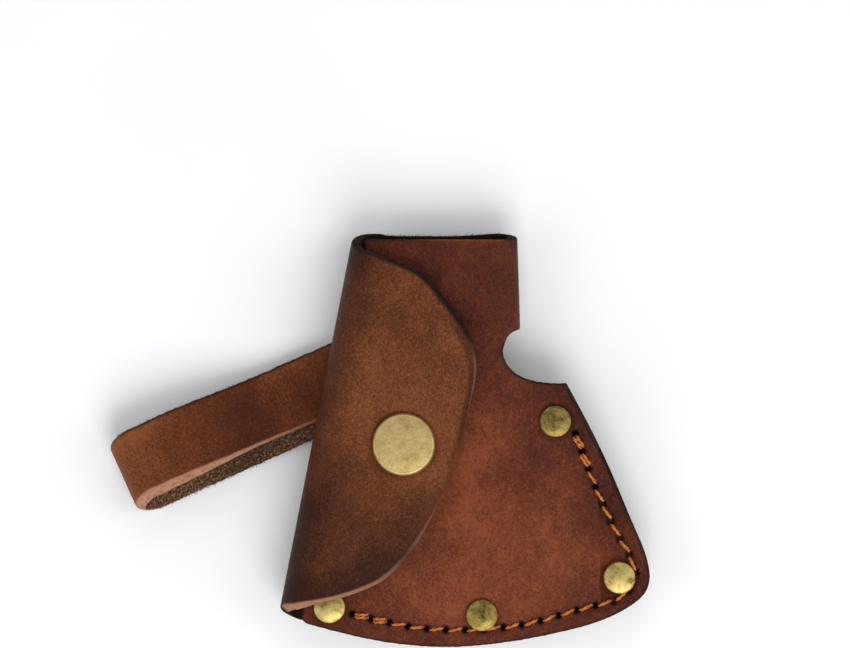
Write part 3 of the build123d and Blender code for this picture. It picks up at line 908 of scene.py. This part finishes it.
def back_thickness(flat):
    """Full, but half on the strip that laps the tab."""
    xy = lay_hide(flat, np.zeros(len(flat)))
    lapped = (xy[:, 0] > tab_end_x - 0.2) & (xy[:, 1] > tab_low_y - 0.2) & (flat[:, 0] < back_across)
    return np.where(lapped, hide_thickness - skive, hide_thickness)


hide_push = slanting(hide_edge, hide_slant)
flap_leather = leather(
    "flap_leather", flap_outline, lay_hide, joined=on(flap_seam), relief=flap_relief, push=hide_push,
    features=[flap_flat(circle) for circle in circles([snap], SNAP_CIRCLES, 40)],
    tone_and_shade=hide_tone_and_shade, tan_edge=flap_tan_edge, coarse=1.0)
side_leather = leather(
    "side_leather", side_outline, lay_hide, joined=lambda loop: on(flap_seam)(loop) | on(back_seam)(loop),
    push=hide_push, tone_and_shade=hide_tone_and_shade, tan_edge=flap_tan_edge, coarse=0.8)
back_leather = leather(
    "back_leather", back_outline, lay_hide, thickness=back_thickness, joined=on(back_seam),
    relief=back_relief, tone_and_shade=hide_tone_and_shade, holes=[back_flat(ring(p, hole_r))[::-1] for p in stitch_points],
    features=[back_flat(line) for line in (seam, *circles([*rivets, loop_rivet], RIVET_CIRCLES))])


def bend_with(piece, lower, upper, joint, angle, *nodes):
    """Bake a piece's transform, give it the flap's leather and hide the CAD nodes it stands for; angle is not
    used.
    """
    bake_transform(piece)
    dress(piece, flap_finish)
    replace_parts(piece, *nodes)


bend_with(back_leather, "sheath", "fold_lower", "flap_open", 30, "back_panel", "flap_fold_lower")
bend_with(side_leather, "fold_lower", "fold_upper", "flap_open_middle", 90, "flap_fold_upper")
bend_with(flap_leather, "fold_upper", "flap", "flap_open_front", 150, "flap")


# ---------------------------------------------------------------- welt
welt_inner = curve([
    (-14.5, -35.6), (0.0, -38.0), (18.0, -39.4), (40.0, -37.8), (50.5, -35.0), (54.6, -31.3), (54.2, -26.0),
    (47.4, -11.0), (40.2, 2.5), (34.6, 13.2),
])
welt_end = even([(-16.8, -45.7), (-14.8, -36.2)])
welt_outline = join(welt_inner, notch_left[notch_left[:, 1] < 16.0], pouch, welt_end)
welt_leather = leather(
    "welt_leather", welt_outline, lambda flat, depth: np.column_stack([flat, inner_front - depth]),
    thickness=lambda flat: np.full(len(flat), inner_front - inner_back),
    coarse=2.0, grain_round=0.25, rough=0.1)
dress(welt_leather, welt_finish)
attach(welt_leather, "sheath")
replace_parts(welt_leather, "welt")


# ---------------------------------------------------------------- belt loop
strap_path = np.concatenate([
    even([(24.0, 1.2), (9.0, 1.2)], 0.5),
    curve([(8.5, 1.18), (5.5, 0.6), (2.0, 0.02)], 0.5),
    even([(1.5, 0.0), (loop_s + 0.5, 0.0)], 0.5),
    [(loop_s - loop_r * sin(a), loop_r - loop_r * cos(a)) for a in np.linspace(0, pi, 40)],
    curve([
        (-56.2, 12.0), (-52.0, 11.93), (-47.0, 11.55), (-36.0, 9.6), (-24.0, 6.3), (-17.5, 4.75),
        (-11.0, 4.2),
    ], 0.5),
    even([(-10.5, 4.2), (24.0, 4.3)], 0.5),
])
strap_path = even(strap_path, 0.25)
path_run = np.arange(len(strap_path)) * np.linalg.norm(strap_path[1] - strap_path[0])
path_way = np.gradient(strap_path, axis=0)
kernel = np.hanning(15) / np.hanning(15).sum()
path_way = np.stack([np.convolve(np.pad(path_way[:, k], 7, "edge"), kernel, "valid") for k in (0, 1)], axis=1)
path_way /= np.linalg.norm(path_way, axis=1)[:, None]
strap_length = path_run[-1]
upper_start = path_run[np.argmax(strap_path[:, 1] > 11.99)]
fold_start = path_run[np.argmax(strap_path[:, 0] < loop_s)]


def on_path(run, values):
    return np.interp(run, path_run, values)


def strap_shift(run):
    """How far the strap has moved across itself: the fold is skewed, so the upper half lies further up."""
    s, z = on_path(run, strap_path[:, 0]), on_path(run, strap_path[:, 1])
    lift = np.where(run > upper_start, 1.0, np.clip(z / (2 * loop_r), 0, 1) * (run > fold_start - 0.1))
    return lift * (4.0 + 1.0 * smooth(s, -14, -48))


def lay_strap(flat, depth):
    run, w = flat.T
    s = on_path(run, strap_path[:, 0]) + on_path(run, path_way[:, 1]) * depth
    z = on_path(run, strap_path[:, 1]) - on_path(run, path_way[:, 0]) * depth
    w = strap_low + w + strap_shift(run)
    return np.column_stack([np.outer(s, strap_along) + np.outer(w, strap_across), z])


def strap_push(flat):
    """The lower cut edge of the upper half leans out, most at the fold."""
    run, w = flat.T
    s = on_path(run, strap_path[:, 0])
    upper = smooth(run, fold_start + 2, fold_start + 14)
    lean = upper * (0.3 + 1.7 * smooth(s, -24, -56)) * smooth(w, 2.6, 0.0)
    return np.column_stack([np.zeros(len(flat)), -lean])


def strap_thin(flat):
    run = flat[:, 0]
    s = on_path(run, strap_path[:, 0])
    return strap_thickness - 0.55 * smooth(s, 2, 9)


def strap_tone_and_shade(flat):
    """Lighter at the fold, and dark where it goes behind the sheath, which is painted shade."""
    s = on_path(flat[:, 0], strap_path[:, 0])
    edge = bump(flat[:, 1] - strap_width, 3.0)
    return 0.55 + 0.14 * smooth(s, -45, -60) - 0.22 * bump(s + 32, 15) + 0.1 * edge


# The lower cut edge of the loop's upper half is painted tan from the fold on, partly as an undyed edge and
# partly as a painted highlight facing the key lamp.
def strap_tan_edge(flat):
    run, w = flat.T
    return np.where(w < strap_width / 2, smooth(run, fold_start - 3, fold_start + 4), 0.0)


def wavy(line, size=0.1):
    """A hand-cut line: a little off true."""
    run = np.arange(len(line))[:, None] * 0.37
    return line + size * np.sin(run * 0.31 + 1.3) * np.array([[0.2, 1.0]]) + 0.4 * size * np.sin(run * 1.7)


strap_outline = join(
    wavy(even([(1.5, 0.0), (strap_length - 1.5, 0.0)])),
    curve([
        (strap_length - 1.0, 0.1), (strap_length, 2.5), (strap_length + 0.4, strap_width / 2),
        (strap_length, strap_width - 2.5), (strap_length - 1.2, strap_width - 0.1),
    ]),
    wavy(even([(strap_length - 1.5, strap_width), (1.5, strap_width)])),
    curve([
        (1.0, strap_width - 0.1), (0.0, strap_width - 2.5), (-0.4, strap_width / 2), (0.0, 2.5), (1.2, 0.1),
    ]),
)
fold_runs = np.arange(fold_start - 2, upper_start + 2, 1.6)
fold_lines = [even([(run, 0.5), (run, strap_width - 0.5)]) for run in fold_runs]
strap_leather = leather(
    "strap_leather", strap_outline, lay_strap, thickness=strap_thin, push=strap_push, tone_and_shade=strap_tone_and_shade,
    tan_edge=strap_tan_edge, coarse=0.8, features=fold_lines, rough=0.09, nap=0.06)
dress(strap_leather, strap_finish)
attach(strap_leather, "belt_loop")
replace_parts(strap_leather, "belt_loop")


# ---------------------------------------------------------------- loose fibres
def fray(name, roots, way, finish, body, reach, tone_and_shade, thick=0.1):
    """Fibres that stand out of a cut edge or the flesh side: thin spikes, each bent its own way."""
    sides, rings = 3, 4
    points, faces, flat = [], [], []
    for root in roots:
        long = reach * chance.uniform(0.35, 1.0)
        curl = chance.normal(0, 0.6, 3) * long
        lean = way + chance.normal(0, 0.6, 3)
        side = np.cross(lean, chance.normal(0, 1, 3))
        side /= np.linalg.norm(side)
        over = np.cross(lean, side)
        over /= np.linalg.norm(over)
        spot = chance.uniform(0, 400, 2)
        t = np.arange(rings) / rings
        middles = root + np.outer(t, lean * long) + np.outer(t * t, curl)
        spike = rings_round(middles, thick * (1 - 0.7 * t), side, over, sides)
        spike = np.vstack([spike, root + lean * long + curl])
        spike[:, 2] += max(0.0, thick - spike[:, 2].min())
        first = len(points)
        points += list(spike)
        faces += skin(first, rings, sides)
        top = first + (rings - 1) * sides
        faces += [(top + j, top + (j + 1) % sides, first + rings * sides) for j in range(sides)]
        faces.append((first + 2, first + 1, first))
        flat += [(*spot, 0.0)] * (rings * sides + 1)
    count = len(points)
    marks = {"margin": np.full(count, 8.0), "cut": np.zeros(count), "flesh": np.ones(count),
             "tone_and_shade": np.full(count, tone_and_shade), "tan_edge": np.zeros(count)}
    piece = solid(name, points, faces, flat, marks)
    dress(piece, finish)
    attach(piece, body)


def along(line, count):
    """Random points of a line of flat coordinates."""
    t = np.sort(chance.uniform(0, len(line) - 1.001, count))
    k = t.astype(int)
    return line[k] + (line[k + 1] - line[k]) * (t - k)[:, None]


low_fibres, high_fibres, mouth_fibres = 420, 260, 330
low_start = path_run[np.argmax(strap_path[:, 0] < -8)]
low_roots = along(even([(low_start, 0.0), (fold_start + 1, 0.0)]), low_fibres)
high_roots = along(even([(upper_start - 8, strap_width), (upper_start + 48, strap_width)]), high_fibres)
to_low = np.array([*(-strap_across), 0.0])
low_roots = lay_strap(low_roots, chance.uniform(0.8, 1.9, low_fibres))
fray("strap_fibres_low", low_roots, to_low, strap_finish, "belt_loop", 0.34, tone_and_shade=0.6)
high_roots = lay_strap(high_roots, chance.uniform(0.9, 1.8, high_fibres))
# The upper edge's fibres get a low tone: painted shade that darkens their flesh colour.
fray("strap_fibres_high", high_roots, -to_low, strap_finish, "belt_loop", 0.28, tone_and_shade=0.3)
mouth_x = chance.uniform(-1.0, 30.5, mouth_fibres)
mouth_y = np.interp(mouth_x, [1.8, 16.6, 22.0, 29.6], [51.0, 50.8, 51.0, 51.5])
mouth_z = chance.uniform(back_z + 0.6, inner_back, mouth_fibres)
mouth_roots = np.column_stack([mouth_x, mouth_y, mouth_z])
out_of_mouth = np.array([0.0, 0.8, 0.5])
# The mouth's fibres get a very low tone: painted shade that makes them nearly black.
fray("mouth_fibres", mouth_roots, out_of_mouth, flap_finish, "sheath", 0.36, tone_and_shade=0.16)


# ---------------------------------------------------------------- fastenings
def turned(name, place, profile, sides=72):
    """A piece turned about an upright axis. profile gives radius and height, from the axis out and back."""
    radii = np.array([r for r, _ in profile])
    middles = np.array([(*place, z) for _, z in profile])
    rings = rings_round(middles[1:-1], radii[1:-1], np.array([1, 0, 0]), np.array([0, 1, 0]), sides)
    points = [middles[0], *rings, middles[-1]]
    faces = [(0, 1 + k, 1 + (k + 1) % sides) for k in range(sides)]
    faces += skin(1, len(profile) - 2, sides)
    last = len(points) - 1 - sides
    faces += [(last + k, len(points) - 1, last + (k + 1) % sides) for k in range(sides)]
    return solid(name, points, faces)


def cap_profile(radius, base, rise, rim, flatness):
    """A domed cap: almost flat in the middle, turning down to a rounded rim that sits in the leather."""
    skirt = 0.6
    outline = [(0, base + rise)]
    for t in np.linspace(0.08, 0.9, 14):
        outline.append((radius * t, base + rise - (rise - rim) * t**flatness))
    edge_top = outline[-1][1]
    for degrees in np.linspace(10, 90, 7):
        a = radians(degrees)
        z = base + (edge_top - base) * cos(a) ** 0.8 + 0.02
        outline.append((radius * (0.9 + 0.1 * sin(a)), z))
    outline += [(radius - 0.12, base - skirt), (radius * 0.6, base - skirt), (0, base - skirt)]
    return outline


for number, place in enumerate(rivets, start=1):
    profile = cap_profile(rivet_r, front_top, rise=1.5, rim=0.75, flatness=2.3)
    cap = turned(f"rivet_{number}_dome", place, profile)
    dress(cap, rivet_finish if number % 2 else darker_rivet_finish)
    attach(cap, "sheath")
    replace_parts(cap, f"rivet_{number}_cap")
snap_dome = turned("snap_dome", snap, cap_profile(snap_r, flap_top, rise=1.9, rim=1.55, flatness=3.0), 110)
dress(snap_dome, snap_finish)
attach(snap_dome, "flap")
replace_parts(snap_dome, "snap_cap")

for node in frame["nodes"]:
    if node.startswith("rivet") or node.startswith("loop_rivet"):
        dress(frame["nodes"][node], rivet_finish)
    if node in ("snap_socket", "snap_stud", "snap_eyelet"):
        dress(frame["nodes"][node], snap_finish)
dress(frame["nodes"]["snap_spring"], wire_finish)


# ---------------------------------------------------------------- stitches
def round_about(path):
    """The two directions square to a path at each of its points."""
    way = np.gradient(path, axis=0)
    way /= np.linalg.norm(way, axis=1)[:, None]
    side = np.cross(way, (0, 0, 1.0))
    side /= np.linalg.norm(side, axis=1)[:, None]
    return side, np.cross(side, way)


def tube(path, radius, sides=8):
    """Points, faces and texture coordinates of a closed tube along a path, tapered at its ends."""
    side, over = round_about(path)
    radii = np.full(len(path), radius)
    radii[[0, -1]] *= 0.5
    points = rings_round(path, radii, side, over, sides)
    arc = 2 * pi * radius / sides
    flat = [(k * 0.3, j * arc, radius) for k in range(len(path)) for j in range(sides)]
    ends = [tuple(range(sides))[::-1], tuple(range(len(points) - sides, len(points)))]
    return points, skin(0, len(path), sides) + ends, flat


def stitch_path(start, end, aside, lift, skew, up, sink=1.1):
    """A stitch from one hole to the next, over the leather; up is 1 on the front and -1 on the back."""
    way = (end - start) / np.linalg.norm(end - start)
    beside = np.array([-way[1], way[0]])
    path = []
    for t in np.linspace(0, 1, 23):
        height = -sink + (sink + lift) * (1 - abs(2 * t - 1) ** 3.2)
        xy = start + (end - start) * (0.14 + 0.72 * t) + beside * (aside + skew * (2 * t - 1))
        path.append((*xy, up * height))
    return np.array(path)


def ply(path, radius, twist, phase):
    """One of two plies wound round each other along a path."""
    side, over = round_about(path)
    a = 2 * pi * run_along(path) / twist + phase
    return path + radius * (np.cos(a)[:, None] * side + np.sin(a)[:, None] * over)


def sew(name, face_z, up, ply_r=0.25):
    """The seam's stitches on one face, as twisted two-ply thread, doubled at both ends."""
    points, faces, flat = [], [], []
    for i in range(stitches):
        doubled = (-0.4, 0.4) if i < 2 or i >= stitches - 2 else (0.0,)
        for aside in doubled:
            skew = 0.42 + chance.normal(0, 0.06)
            lift = 0.4 + chance.normal(0, 0.05)
            centre = stitch_path(stitch_points[i], stitch_points[i + 1], aside, lift, skew, up)
            phase = chance.uniform(0, 2 * pi)
            for strand in (0, pi):
                path = ply(centre, ply_r * 0.62, 3.4, phase + strand) + np.array([0, 0, face_z])
                p, f, t = tube(path, ply_r)
                faces += [tuple(k + len(points) for k in face) for face in f]
                points += list(p)
                flat += [(x + i * 7.0, y + strand, z) for x, y, z in t]
    thread = solid(name, points, faces, flat)
    dress(thread, thread_finish)
    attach(thread, "sheath")
    return thread


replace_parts(sew("front_stitches", front_top - 0.2, 1), "front_thread")
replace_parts(sew("back_stitches", back_z + 0.2, -1), "back_thread")


# ---------------------------------------------------------------- stage, light and camera
def stage_material():
    g = Graph(bpy.data.materials.new("pale_floor"))
    where = g.add("TexCoord", out="Object")
    faint = g.noise(where, 9.0, 2)
    colour = g.ramp(faint, (0.3, srgb(246, 246, 246)), (0.7, srgb(252, 252, 252)))
    roughness = g.span(faint, 0.2, 0.8, 0.85, 0.95)
    return g.finish(colour, roughness, g.bump(faint, 0.02, 0.1), specular=0.1)


def floor():
    half = 3.0  # metres
    corners = [(x * half, y * half, 0) for x, y in ((-1, -1), (1, -1), (1, 1), (-1, 1))]
    mesh = bpy.data.meshes.new("floor")
    mesh.from_pydata(corners, [], [(0, 1, 2, 3)])
    mesh.materials.append(stage_material())
    piece = bpy.data.objects.new("floor", mesh)
    bpy.context.scene.collection.objects.link(piece)


def lamp(name, azimuth, elevation, away, size, power, colour=(1, 1, 1)):
    """A soft square lamp aimed at the object; azimuth 0 stands below it in the view, and 90 to its right."""
    light = bpy.data.lights.new(name, "AREA")
    light.shape = "SQUARE"
    light.size = size
    light.energy = power
    light.color = colour
    a, e = radians(azimuth), radians(elevation)
    stand = Vector((sin(a) * cos(e), -cos(a) * cos(e), sin(e)))
    thing = bpy.data.objects.new(name, light)
    thing.location = stand * away
    thing.rotation_euler = stand.to_track_quat("Z", "Y").to_euler()
    bpy.context.scene.collection.objects.link(thing)


def sky():
    """Soft light from all round, brighter at the horizon than overhead."""
    g = Graph(bpy.data.worlds.new("studio"))
    bpy.context.scene.world = g.owner
    height = g.add("SeparateXYZ", {0: g.add("TexCoord", out="Generated")}, out="Z")
    shell = g.tree.nodes["Background"].inputs
    g.set(shell["Color"], g.ramp(height, (0.1, (0.82, 0.86, 0.94, 1)), (0.75, (0.36, 0.36, 0.36, 1))))
    g.set(shell["Strength"], 0.9)


floor()
sky()
lamp("key", 15, 50, 1.3, 0.9, 10.0)
lamp("fill_left", -75, 35, 1.4, 0.9, 4.0, (0.95, 0.97, 1.0))
lamp("fill_right", 95, 40, 1.4, 0.9, 4.0)
lamp("rim", 180, 35, 1.5, 1.0, 3.0)

view_width = 212.5  # millimetres across the picture, at the height of the front's face
view_centre = (11.6, 28.9)
camera_data = bpy.data.cameras.new("camera")
camera_data.lens = 200.0
camera_data.sensor_width = 36.0
camera_data.clip_start, camera_data.clip_end = 0.05, 20.0
camera = bpy.data.objects.new("camera", camera_data)
stand_off = view_width * camera_data.lens / camera_data.sensor_width
camera.location = Vector((*view_centre, front_top + stand_off)) * MM
bpy.context.scene.collection.objects.link(camera)
bpy.context.scene.camera = camera
bpy.context.scene.view_settings.view_transform = "Standard"
